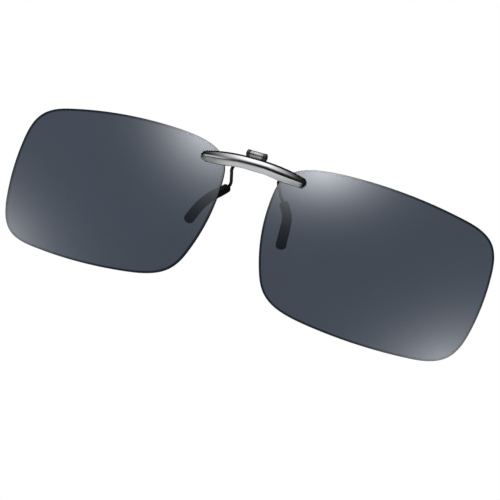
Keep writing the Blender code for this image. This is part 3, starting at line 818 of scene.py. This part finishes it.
def lens_stack(side, tag):
    for i, where in enumerate(("inner", "outer")):
        p, d = screw_axis(i, side)
        gap = (p.y - bar_back(p.x)) / d.y
        name = "%s_%s" % (tag, where)
        c = 0.05
        place(
            "lens_bush_nylon_" + name,
            spin(
                [
                    (-gap + 0.12, BUSH_R_IN),
                    (-gap + 0.12, BUSH_HEAD_R - c),
                    (-gap + 0.12 + c, BUSH_HEAD_R),
                    (-0.02 - c, BUSH_HEAD_R),
                    (-0.02, BUSH_HEAD_R - c),
                    (-0.02, BUSH_R_OUT),
                    (LENS_T - 0.03, BUSH_R_OUT),
                    (LENS_T - 0.03, BUSH_R_IN),
                ],
                p,
                d,
            ),
            "clear_nylon",
            "lens_assembly",
            "lens_bush_" + name,
        )
        h = LENS_T + 0.05 + PLATE_T + 0.03
        r = SCREW_HEAD_R
        screw = spin(
            [
                (-gap - 0.72, 0),
                (-gap - 0.72, SCREW_R - 0.08),
                (-gap - 0.64, SCREW_R),
                (h, SCREW_R),
                (h, r - 0.04),
                (h + 0.04, r),
                (h + 0.2, r),
                (h + 0.27, r * 0.94),
                (h + 0.33, r * 0.82),
                (h + 0.38, r * 0.62),
                (h + 0.41, r * 0.36),
                (h + 0.42, 0),
            ],
            p,
            d,
        )
        turn = (0.8, 0, 0.6) if i == 0 else (0.35, 0, -0.94)
        place(
            "lens_screw_slotted_" + name,
            slotted(screw, p, d, turn, 0.24, 0.17, h + 0.42),
            "bright_steel",
            "lens_assembly",
            "lens_screw_" + name,
            bevel=0.02,
        )
    (p0, d0), (p1, d1) = screw_axis(0, side), screw_axis(1, side)
    d = ((d0 + d1) / 2).normalized()
    along = p1 - p0
    along = (along - d * along.dot(d)).normalized()
    up = d.cross(along)
    mid = (p0 + p1) / 2 + d * (LENS_T + 0.05)
    half = (p1 - p0).length / 2
    r = 1.0
    outline = []
    for c, s in ((half, -90), (-half, 90)):
        outline += [
            (c + r * math.cos(math.radians(s + 180 * k / 20)), r * math.sin(math.radians(s + 180 * k / 20)))
            for k in range(21)
        ]
    bm = bmesh.new()
    rows = [[bm.verts.new(mid + along * a + up * b + d * t) for a, b in outline] for t in (0.0, PLATE_T)]
    n = len(outline)
    bm.faces.new(rows[0])
    bm.faces.new(rows[1][::-1])
    for k in range(n):
        j = (k + 1) % n
        bm.faces.new((rows[0][k], rows[0][j], rows[1][j], rows[1][k]))
    bmesh.ops.recalc_face_normals(bm, faces=bm.faces)
    cuts = [spin([(-2, 0), (-2, 0.46), (4, 0.46), (4, 0)], q, e, 40) for q, e in ((p0, d0), (p1, d1))]
    place(
        "retaining_plate_stamped_" + tag,
        combine(bm, cuts=cuts),
        "black_metal",
        "lens_assembly",
        "retaining_plate_" + tag,
        bevel=0.06,
    )


def build_leaf():
    y0 = BAR_FRONT + BAR_T + 0.05
    y1 = y0 + 0.5
    plate = prism(rounded(-1.5, 1.5, 14.1, 18.2, 0.35), y0, y1, "Y")
    barrel = prism(ring(FLIP_Y, FLIP_Z, BARREL_R, 64), -BARREL_HALF, BARREL_HALF)
    bore = prism(ring(FLIP_Y, FLIP_Z, FLIP_PIN_R + 0.04, 48), -3, 3)
    hole = spin([(-2, 0), (-2, 0.42), (2, 0.42), (2, 0)], (0, y0, 14.85), (0, 1, 0), 32)
    place(
        "hinge_leaf_rolled",
        combine(barrel, adds=[plate], cuts=[bore, hole]),
        "bright_steel",
        "lens_assembly",
        "hinge_leaf",
        bevel=0.07,
    )
    t = y1 - y0
    screw = spin(
        [
            (-0.68, 0),
            (-0.68, 0.3),
            (-0.6, 0.37),
            (t + 0.08, 0.37),
            (t + 0.08, 0.6),
            (t + 0.1, 0.62),
            (t + 0.19, 0.62),
            (t + 0.24, 0.56),
            (t + 0.28, 0.42),
            (t + 0.3, 0.2),
            (t + 0.3, 0),
        ],
        (0, y0, 14.85),
        (0, 1, 0),
        40,
    )
    place(
        "leaf_screw_slotted",
        slotted(screw, (0, y0, 14.85), (0, 1, 0), (0.9, 0, 0.4), 0.2, 0.13, t + 0.3),
        "bright_steel",
        "lens_assembly",
        "leaf_screw",
        bevel=0.015,
    )


def build_bracket():
    cheek = (
        ring(FLIP_Y, FLIP_Z, EAR_R, 40, 265, -285)
        + [(-2.75, 17.45), (-1.2, 17.4)]
        + ring(JAW_Y, JAW_Z, CHEEK_R, 30, 100, -190)
        + [(-0.7, 15.62), (WING_Y[0], 15.62), (WING_Y[0], 16.9), (-4.2, 17.2)]
    )
    left = prism(cheek, -CHEEK_OUT, -CHEEK_IN)
    adds = [
        prism(cheek, CHEEK_IN, CHEEK_OUT),
        box((-2.0, WING_Y[0], 15.62), (2.0, -0.38, 16.0)),
        box((-1.6, -0.9, 14.95), (1.6, -0.38, 15.8)),
    ]
    for s in (-1, 1):
        a, b = sorted((s * 2.3, s * 7.1))
        adds.append(prism(rounded(a, b, 14.95, 16.15, 0.3), WING_Y[0], WING_Y[1], "Y"))
    cuts = [
        prism(ring(FLIP_Y, FLIP_Z, FLIP_PIN_R + 0.03, 48), -4, 4),
        prism(ring(JAW_Y, JAW_Z, JAW_PIN_R + 0.03, 48), -4, 4),
    ]
    for s in (-1, 1):
        cuts.append(
            spin([(-1, 0), (-1, 0.5), (1, 0.5), (1, 0)], (s * 5.9, WING_Y[0], 15.55), (0, 1, 0), 32)
        )
    place(
        "clip_bracket_formed",
        combine(left, adds=adds, cuts=cuts),
        "black_metal",
        "clip_base",
        "clip_bracket",
        bevel=0.07,
    )


def build_pins():
    def pin(name, r, head, y, z):
        c = 0.05
        place(
            name + "_headed",
            spin(
                [
                    (-2.86, 0),
                    (-2.86, head * 0.55),
                    (-2.84, head * 0.74),
                    (-2.79, head * 0.93),
                    (-2.74, head),
                    (-2.63 - c, head),
                    (-2.63, head - c),
                    (-2.63, r),
                    (2.63, r),
                    (2.63, head - c),
                    (2.63 + c, head),
                    (2.74, head),
                    (2.79, head * 0.93),
                    (2.84, head * 0.74),
                    (2.86, head * 0.55),
                    (2.86, 0),
                ],
                (0, y, z),
                (1, 0, 0),
            ),
            "black_metal",
            "clip_base",
            name,
        )

    pin("flip_pin", FLIP_PIN_R, 0.66, FLIP_Y, FLIP_Z)
    pin("jaw_pin", JAW_PIN_R, 0.7, JAW_Y, JAW_Z)
    for s, tag in ((-1, "left"), (1, "right")):
        a, b = WASHER
        place(
            "flip_washer_ring_" + tag,
            spin(
                [
                    (a, 0.44),
                    (a, 0.83),
                    (a + 0.03, 0.86),
                    (b - 0.03, 0.86),
                    (b, 0.83),
                    (b, 0.44),
                ],
                (0, FLIP_Y, FLIP_Z),
                (s, 0, 0),
            ),
            "spring_steel",
            "clip_base",
            "flip_washer_" + tag,
        )


def build_pads():
    """Moulded rubber bumpers with a softly crowned edge and two shallow grip grooves."""
    for s, tag in ((-1, "left"), (1, "right")):
        a, b = sorted((s * PAD_X[0], s * PAD_X[1]))
        y0 = WING_Y[1] + 0.03
        bm = bmesh.new()
        rows = []
        steps = [(y0, 0.14), (y0 + 0.05, 0.05), (y0 + 0.14, 0.0)]
        steps += [(PAD_BACK - 0.34, 0.0)]
        steps += [
            (PAD_BACK - 0.34 + 0.34 * math.sin(math.radians(g)), 0.3 * (1 - math.cos(math.radians(g))))
            for g in (15, 30, 45, 60, 75, 90)
        ]
        for y, inset in steps:
            rows.append(
                [
                    bm.verts.new((x, y, z))
                    for x, z in rounded(
                        a + inset, b - inset, PAD_Z[0] + inset, PAD_Z[1] - inset, 0.48 - inset * 0.7, 8
                    )
                ]
            )
        n = len(rows[0])
        for p, q in zip(rows, rows[1:]):
            for k in range(n):
                j = (k + 1) % n
                bm.faces.new((p[k], p[j], q[j], q[k]))
        bm.faces.new(rows[0])
        bm.faces.new(rows[-1])
        bmesh.ops.recalc_face_normals(bm, faces=bm.faces)
        peg = spin(
            [
                (WING_Y[0] - 0.34, 0),
                (WING_Y[0] - 0.34, 0.36),
                (WING_Y[0] - 0.28, 0.5),
                (WING_Y[0] - 0.16, 0.64),
                (WING_Y[0] - 0.08, 0.66),
                (WING_Y[0] - 0.04, 0.62),
                (WING_Y[0] - 0.04, 0.47),
                (y0 + 0.4, 0.47),
                (y0 + 0.4, 0),
            ],
            (s * 5.9, 0, 15.55),
            (0, 1, 0),
            36,
        )
        grooves = []
        for k in (-1, 1):
            x = (a + b) / 2 + k * 0.55
            grooves.append(
                prism(
                    [(x - 0.09, PAD_BACK + 0.2), (x - 0.09, PAD_BACK), (x, PAD_BACK - 0.1), (x + 0.09, PAD_BACK), (x + 0.09, PAD_BACK + 0.2)],
                    PAD_Z[0] + 0.36,
                    PAD_Z[1] - 0.36,
                    "Z",
                )
            )
        place(
            "front_pad_moulded_" + tag,
            combine(bm, adds=[peg], cuts=grooves),
            "black_rubber",
            "clip_base",
            "front_pad_" + tag,
            angle=40,
        )


def build_lever():
    boss = [(y, max(z, 15.0)) for y, z in ring(JAW_Y, LOWER_Z, LOWER_R, 40, 180, 180)]
    body = ring(JAW_Y, JAW_Z, HUB_R, 40, 0, 180) + boss
    tab = [
        (0.35, 17.0),
        (1.1, 17.0),
        (1.3, 18.0),
        (1.62, 19.4),
        (1.66, 19.95),
        (1.45, TAB_TOP),
        (1.05, TAB_TOP - 0.04),
        (0.9, 19.5),
        (0.55, 18.0),
    ]
    cuts = [
        prism(ring(JAW_Y, JAW_Z, JAW_PIN_R + 0.04, 48), -3, 0.9),
        prism(ring(JAW_Y, JAW_Z, COIL_R + COIL_WIRE + 0.12, 64), 0.28, 3),
        prism(ring(JAW_Y, LOWER_Z, WIRE_BORE, 48), -3, 3),
    ]
    # thumb grooves across the back of the press tab
    for z in (18.55, 18.95, 19.35):
        y = 1.3 + (z - 18.0) * 0.3 / 1.4
        cuts.append(
            prism([(y - 0.07, z), (y + 0.2, z - 0.12), (y + 0.2, z + 0.12)], -0.95, 0.95)
        )
    place(
        "jaw_lever_formed",
        combine(prism(body, -LEVER_HALF, LEVER_HALF), adds=[prism(tab, -TAB_HALF, TAB_HALF)], cuts=cuts),
        "black_metal",
        "rear_jaw",
        "jaw_lever",
        bevel=0.05,
    )


def build_legs():
    path = curve_through(LEG, 10)
    near = lambda q: min(range(len(path)), key=lambda i: np.linalg.norm(path[i] - np.array(q)))
    end, head = near(WIRE_END), near(HEAD_AT)
    for s, tag in ((-1, "left"), (1, "right")):
        line = [p * np.array((s, 1, 1)) for p in path]
        wire = line[: end + 1]
        place(
            "leg_wire_drawn_" + tag,
            tube(wire, [WIRE_R + 0.03] * len(wire), 28),
            "black_wire",
            "rear_jaw",
            "leg_wire_" + tag,
            angle=60,
        )
        rubber = line[head:]
        total = np.cumsum([0] + [np.linalg.norm(b - a) for a, b in zip(rubber, rubber[1:])])
        # finer steps along the sleeve, closer at its two ends
        want = list(1.3 * np.linspace(0, 1, 16) ** 1.5) + list(np.linspace(1.5, total[-1] - 1.15, 60))
        want += [total[-1] - 1.0 + 1.0 * math.sin(math.radians(g)) for g in np.linspace(2, 88, 16)]
        pts = np.array(rubber)
        fine = [np.array([np.interp(t, total, pts[:, c]) for c in range(3)]) for t in want]
        size = []
        for t in want:
            full = SLEEVE_R[0] + (SLEEVE_R[1] - SLEEVE_R[0]) * min(t / (0.75 * total[-1]), 1.0)
            r = full
            if t < 0.6:
                r = 0.7 + (full - 0.7) * math.sin(t / 0.6 * math.pi / 2) ** 0.7
            rest = total[-1] - t
            if rest < 1.0:
                r = full * math.sqrt(max(1 - ((1.0 - rest) / 1.03) ** 2, 0.0))
            size.append(max(r, 0.12))
        place(
            "leg_sleeve_moulded_" + tag,
            sleeve(fine, size, want),
            "black_rubber",
            "rear_jaw",
            "leg_sleeve_" + tag,
            angle=60,
        )


def sleeve(path, radii, want, n=36):
    """Rubber tube: a rolled mouth, a blind bore for the wire and a rounded tip."""
    bm = bmesh.new()
    fr = frames(path)

    def row(i, r, shift=0.0):
        u, w = fr[i]
        t = np.cross(u, w)
        return [
            bm.verts.new(
                path[i]
                + t * shift
                + r * (u * math.cos(2 * math.pi * k / n) + w * math.sin(2 * math.pi * k / n))
            )
            for k in range(n)
        ]

    stop = min(i for i, t in enumerate(want) if t > 0.78 * want[-1])
    rows = [row(i, SLEEVE_BORE) for i in range(stop, 0, -6)] + [row(0, SLEEVE_BORE)]
    first = rows[0]
    rows += [row(i, r) for i, r in enumerate(radii)]
    for p, q in zip(rows, rows[1:]):
        for k in range(n):
            j = (k + 1) % n
            bm.faces.new((p[k], p[j], q[j], q[k]))
    bm.faces.new(first)
    bm.faces.new(rows[-1])
    bmesh.ops.recalc_face_normals(bm, faces=bm.faces)
    return bm


def build_spring():
    rest = np.array((-2.55, 16.0 + COIL_WIRE + 0.03))
    centre = np.array((JAW_Y, JAW_Z))
    reach = np.linalg.norm(centre - rest)
    lean = math.atan2(*(centre - rest)[::-1]) + math.asin(COIL_R / reach)
    leave = lean + math.pi / 2
    back = JAW_Y + LOWER_R + COIL_WIRE + 0.04
    path = [
        np.array((COIL_X[0], back, LOWER_Z - 0.15)),
        np.array((COIL_X[0], back + 0.01, LOWER_Z + 0.2)),
        np.array((COIL_X[0], back + 0.02, LOWER_Z + 0.5)),
    ]
    last = leave + 2 * math.pi * COIL_TURNS
    steps = 40 * COIL_TURNS + 12
    for k in range(steps + 1):
        a = last * k / steps
        x = COIL_X[0] + (COIL_X[1] - COIL_X[0]) * k / steps
        path.append(np.array((x, JAW_Y + COIL_R * math.cos(a), JAW_Z + COIL_R * math.sin(a))))
    span = math.sqrt(reach**2 - COIL_R**2)
    direction = np.array((0.0, -math.cos(lean), -math.sin(lean)))
    foot = path[-1]
    for k in (0.25, 0.5, 0.75, 1.0):
        path.append(foot + direction * span * k)
    spring = place(
        "torsion_spring_wound",
        tube(path, [COIL_WIRE] * len(path), 16),
        "spring_steel",
        None,
        "torsion_spring",
        angle=60,
    )
    # On the real clip the short leg goes with the lever and the long one stays on the bracket's
    #     floor; here the spring rides on no body and does not wind up, and the two coil-end points below
    #     are computed and not used.
    world((COIL_X[0] + COIL_WIRE, JAW_Y, JAW_Z))
    world((COIL_X[1] - COIL_WIRE, JAW_Y, JAW_Z))
    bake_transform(spring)


build_lens("lens_left_glass", -1)
build_lens("lens_right_glass", 1)
build_bar()
lens_stack(-1, "left")
lens_stack(1, "right")
build_leaf()
build_bracket()
build_pins()
build_pads()
build_lever()
build_legs()
build_spring()

# ===================================================================== stage
floor_mesh = bpy.data.meshes.new("studio_floor")
floor_mesh.from_pydata(
    [(-5, -5, -0.3), (5, -5, -0.3), (5, 5, -0.3), (-5, 5, -0.3)], [], [(0, 1, 2, 3)]
)
floor = bpy.data.objects.new("studio_floor", floor_mesh)
fm = Mat("floor_paper", Metallic=0.0)
fm.tint(fm.noise(3, 3), (0.94, 0.94, 0.94), (0.955, 0.955, 0.955))
fm.rough(fm.noise(400, 3), 0.7, 0.85)
floor_mesh.materials.append(fm.m)
bpy.context.scene.collection.objects.link(floor)
floor.visible_glossy = False

# ==================================================================== lights
scene = bpy.context.scene
scene.view_settings.view_transform = "Standard"
scene.view_settings.look = "None"
scene.view_settings.exposure = 0.0
scene.view_settings.gamma = 1.0

# White surroundings.  Polished metal sees a studio instead: a soft box overhead
# in front, darkness level with the object and behind it, and a pale table.
studio = bpy.data.worlds.new("studio")
scene.world = studio
studio.use_nodes = True
t = studio.node_tree
for old in list(t.nodes):
    t.nodes.remove(old)


def wn(kind, **values):
    n = t.nodes.new(kind)
    for k, v in values.items():
        setattr(n, k, v)
    return n


def wmath(op, a, b=None, clamp=False):
    n = wn("ShaderNodeMath", operation=op, use_clamp=clamp)
    for i, v in enumerate((a, b)):
        if v is None:
            continue
        if isinstance(v, (int, float)):
            n.inputs[i].default_value = v
        else:
            t.links.new(v, n.inputs[i])
    return n.outputs[0]


def step(value, a, b, low, high):
    n = wn("ShaderNodeMapRange", interpolation_type="SMOOTHSTEP")
    for k, v in (("From Min", a), ("From Max", b), ("To Min", low), ("To Max", high)):
        n.inputs[k].default_value = v
    t.links.new(value, n.inputs["Value"])
    return n.outputs["Result"]


# The object hung tilted in its studio: these are the studio's right, up and near
# directions in the object's own axes.
STUDIO = (
    Vector((0.932, 0.186, 0.311)),
    Vector((-0.272, -0.210, 0.939)),
    Vector((0.240, -0.960, -0.145)),
)
coord = wn("ShaderNodeTexCoord")


def along(axis):
    n = wn("ShaderNodeVectorMath", operation="DOT_PRODUCT")
    t.links.new(coord.outputs["Generated"], n.inputs[0])
    n.inputs[1].default_value = axis
    return n.outputs["Value"]


sx, sy, sz = (along(axis) for axis in STUDIO)
slant = wmath("ADD", sx, wmath("MULTIPLY", sz, 0.35))
product = lambda *v: v[0] if len(v) == 1 else wmath("MULTIPLY", v[0], product(*v[1:]))
box_light = product(
    step(sy, 0.43, 0.7, 0.0, 1.0),
    step(sz, -0.4, 0.15, 0.0, 1.0),
    step(slant, -0.43, -0.04, 0.0, 1.0),
    step(slant, 0.12, 0.48, 1.0, 0.0),
)
table_light = product(
    step(sy, -0.42, -0.22, 1.0, 0.0),
    step(sy, -0.75, -0.42, 0.6, 1.0),
    step(sx, -0.9, -0.58, 0.25, 1.0),
    step(sx, -0.4, 0.12, 1.0, 0.0),
)
level = wmath("ADD", wmath("MULTIPLY", box_light, 2.3), wmath("MULTIPLY", table_light, 1.15))
seen = wmath("ADD", level, 0.014)
glossy_col = wn("ShaderNodeBackground")
t.links.new(seen, glossy_col.inputs["Strength"])
glossy_col.inputs["Color"].default_value = (1, 1, 1, 1)
white = wn("ShaderNodeBackground")
white.inputs["Color"].default_value = (1, 1, 1, 1)
path = wn("ShaderNodeLightPath")
t.links.new(
    wmath("ADD", 1.0, wmath("MULTIPLY", path.outputs["Is Diffuse Ray"], 0.09)),
    white.inputs["Strength"],
)
mix = wn("ShaderNodeMixShader")
reflected = wmath(
    "MULTIPLY",
    path.outputs["Is Glossy Ray"],
    wmath("SUBTRACT", 1.0, path.outputs["Is Transmission Ray"]),
)
t.links.new(reflected, mix.inputs[0])
t.links.new(white.outputs[0], mix.inputs[1])
t.links.new(glossy_col.outputs[0], mix.inputs[2])
out = wn("ShaderNodeOutputWorld")
t.links.new(mix.outputs[0], out.inputs["Surface"])


def direction(azimuth, elevation):
    """Unit vector; azimuth 0 points to the front (-Y) and grows towards +X."""
    a, e = math.radians(azimuth), math.radians(elevation)
    return Vector((math.sin(a) * math.cos(e), -math.cos(a) * math.cos(e), math.sin(e)))


def softbox(name, target, azimuth, elevation, size, radiance, only=None, distance=1.2, glow=None):
    """Area light facing a point.  glow = (peak x, peak y, width, height, tilt in
    degrees, sharpness) makes it brightest at one spot and fading away from it;
    lengths are metres on the light, x to its right and y up."""
    data = bpy.data.lights.new(name, "AREA")
    data.shape = "RECTANGLE"
    data.size, data.size_y = size
    data.energy = radiance * math.pi * size[0] * size[1]
    obj = bpy.data.objects.new(name, data)
    bpy.context.scene.collection.objects.link(obj)
    d = direction(azimuth, elevation)
    obj.location = Vector(target) + d * distance
    x = Vector((0, 0, 1)).cross(d).normalized()
    obj.rotation_mode = "QUATERNION"
    obj.rotation_quaternion = Matrix((x, d.cross(x), d)).transposed().to_quaternion()
    obj.visible_camera = False
    obj.visible_transmission = False
    if glow:
        x0, y0, wide, high, tilt, sharp = glow
        data.use_nodes = True
        nt = data.node_tree
        geo = nt.nodes.new("ShaderNodeNewGeometry")
        mp = nt.nodes.new("ShaderNodeMapping")
        mp.vector_type = "POINT"
        mp.inputs["Location"].default_value = (-0.5 * size[0] - x0, -0.5 * size[1] - y0, 0)
        mp.inputs["Scale"].default_value = (size[0], size[1], 0)
        turn = nt.nodes.new("ShaderNodeMapping")
        turn.vector_type = "TEXTURE"
        turn.inputs["Rotation"].default_value = (0, 0, math.radians(tilt))
        turn.inputs["Scale"].default_value = (wide, high, 1)
        far = nt.nodes.new("ShaderNodeVectorMath")
        far.operation = "LENGTH"
        nt.links.new(geo.outputs["Parametric"], mp.inputs["Vector"])
        nt.links.new(mp.outputs["Vector"], turn.inputs["Vector"])
        nt.links.new(turn.outputs["Vector"], far.inputs[0])
        last = far.outputs["Value"]
        for op, value in (("POWER", sharp), ("MULTIPLY", -1.0), ("EXPONENT", 0.0)):
            n = nt.nodes.new("ShaderNodeMath")
            n.operation = op
            n.inputs[1].default_value = value
            nt.links.new(last, n.inputs[0])
            last = n.outputs[0]
        nt.links.new(last, nt.nodes["Emission"].inputs["Strength"])
    if only:
        obj.light_linking.receiver_collection = only
    return obj


lens_only = {}
for s, name in ((-1, "lens_left_glass"), (1, "lens_right_glass")):
    lens_only[s] = bpy.data.collections.new("only_" + name)
    lens_only[s].objects.link(bpy.data.objects[name])

# Two glows in each lens, near the top inner corner and the bottom outer one.
lens_at = {s: world((s * LENS_CX, 0, 0)) for s in (-1, 1)}
for name, s, az, el, radiance, glow in (
    ("glow_right_top", 1, 0, 19, 11.9, (-0.056, 0.042, 0.139, 0.093, 17.6, 1.46)),
    ("glow_left_top", -1, -26, 19, 11.1, (-0.011, 0.051, 0.150, 0.096, -27.3, 1.42)),
    ("glow_right_low", 1, 24, 2, 6.0, (0.0, -0.085, 0.174, 0.093, 36.3, 1.25)),
    ("glow_left_low", -1, -52, 1, 5.1, (-0.022, -0.045, 0.173, 0.080, -25.9, 1.19)),
):
    lamp = softbox(name, lens_at[s], az, el, (1.3, 1.0), radiance, only=lens_only[s], glow=glow)
    lamp.data.color = (0.955, 0.97, 1.03)

# A wide dim panel in front of the lenses keeps what lies behind them from
# going quite black.
both_lenses = bpy.data.collections.new("both_lenses")
for name in ("lens_left_glass", "lens_right_glass"):
    both_lenses.objects.link(bpy.data.objects[name])
veil = softbox(
    "veil",
    world((0, 0, 0)),
    -14,
    8,
    (3.8, 2.0),
    0.24,
    only=both_lenses,
    glow=(0.0, 0.0, 1.6, 0.8, 0.0, 5.0),
)
veil.data.color = (0.43, 0.69, 1.0)

# A pale card to the left, for the metal only.
metal_only = bpy.data.collections.new("metal_only")
for name in ("bridge_bar_polished",):
    metal_only.objects.link(bpy.data.objects[name])
card = STUDIO[0] * -0.70 + STUDIO[1] * 0.36 + STUDIO[2] * 0.60
softbox(
    "card_left",
    world((-8, -5, 15)),
    math.degrees(math.atan2(card.x, -card.y)),
    math.degrees(math.asin(card.z / card.length)),
    (0.9, 0.9),
    1.1,
    only=metal_only,
    glow=(0.0, 0.0, 0.24, 0.30, 0.0, 4.0),
)

# A soft strip near the camera draws the small dark parts.
small_parts = bpy.data.collections.new("small_parts")
for o in bpy.data.objects:
    if o.type == "MESH" and o.name.startswith(
        ("leg_wire_", "hinge_leaf_", "clip_bracket_", "flip_", "jaw_", "lens_screw_")
    ):
        small_parts.objects.link(o)
softbox(
    "strip_front",
    world((0, -3, 16)),
    24,
    2,
    (0.5, 0.7),
    1.1,
    only=small_parts,
    glow=(0.0, 0.0, 0.16, 0.28, 0.0, 3.0),
)
steel_only = bpy.data.collections.new("steel_only")
for o in bpy.data.objects:
    if o.type == "MESH" and o.name.startswith("hinge_leaf_"):
        steel_only.objects.link(o)
softbox(
    "low_front",
    world((0, -4, 18)),
    18,
    -32,
    (0.7, 0.6),
    3.8,
    only=steel_only,
    glow=(0.0, 0.0, 0.22, 0.2, 0.0, 3.0),
)

# And one behind them, above the wearer's side, for the parts at the back.
back_parts = bpy.data.collections.new("back_parts")
for o in bpy.data.objects:
    if o.type == "MESH" and o.name.startswith(
        ("leg_", "clip_bracket_", "jaw_", "lens_screw_", "retaining_plate_", "torsion_", "front_pad_")
    ):
        back_parts.objects.link(o)
softbox(
    "strip_back",
    world((0, 0, 14)),
    205,
    30,
    (0.9, 0.7),
    3.6,
    only=back_parts,
    glow=(0.0, 0.0, 0.32, 0.24, 0.0, 3.0),
)

key = softbox("key", world((0, 0, 10)), -35, 50, (0.8, 0.8), 1.5)
key.visible_glossy = False
fill = softbox("fill", world((0, 0, 10)), 60, 25, (1.0, 1.0), 0.6)
fill.visible_glossy = False

# ==================================================================== camera
AZIMUTH, ELEVATION, ROLL = 14.0513, -8.3538, 18.3351
cam_data = bpy.data.cameras.new("camera")
cam_data.sensor_fit = "HORIZONTAL"
cam_data.sensor_width = 36.0
cam_data.lens = 187.078
cam_data.clip_start, cam_data.clip_end = 0.05, 50.0
cam = bpy.data.objects.new("camera", cam_data)
scene.collection.objects.link(cam)
back = direction(AZIMUTH, ELEVATION)
level_right = Vector((0, 0, 1)).cross(back).normalized()
up = back.cross(level_right)
r = math.radians(ROLL)
right = level_right * math.cos(r) + up * math.sin(r)
up = back.cross(right)
turn = Matrix((right, up, back)).transposed()
cam.rotation_mode = "QUATERNION"
cam.rotation_quaternion = turn.to_quaternion()
cam.location = world((165.808, -642.318, -102.378))
scene.camera = cam
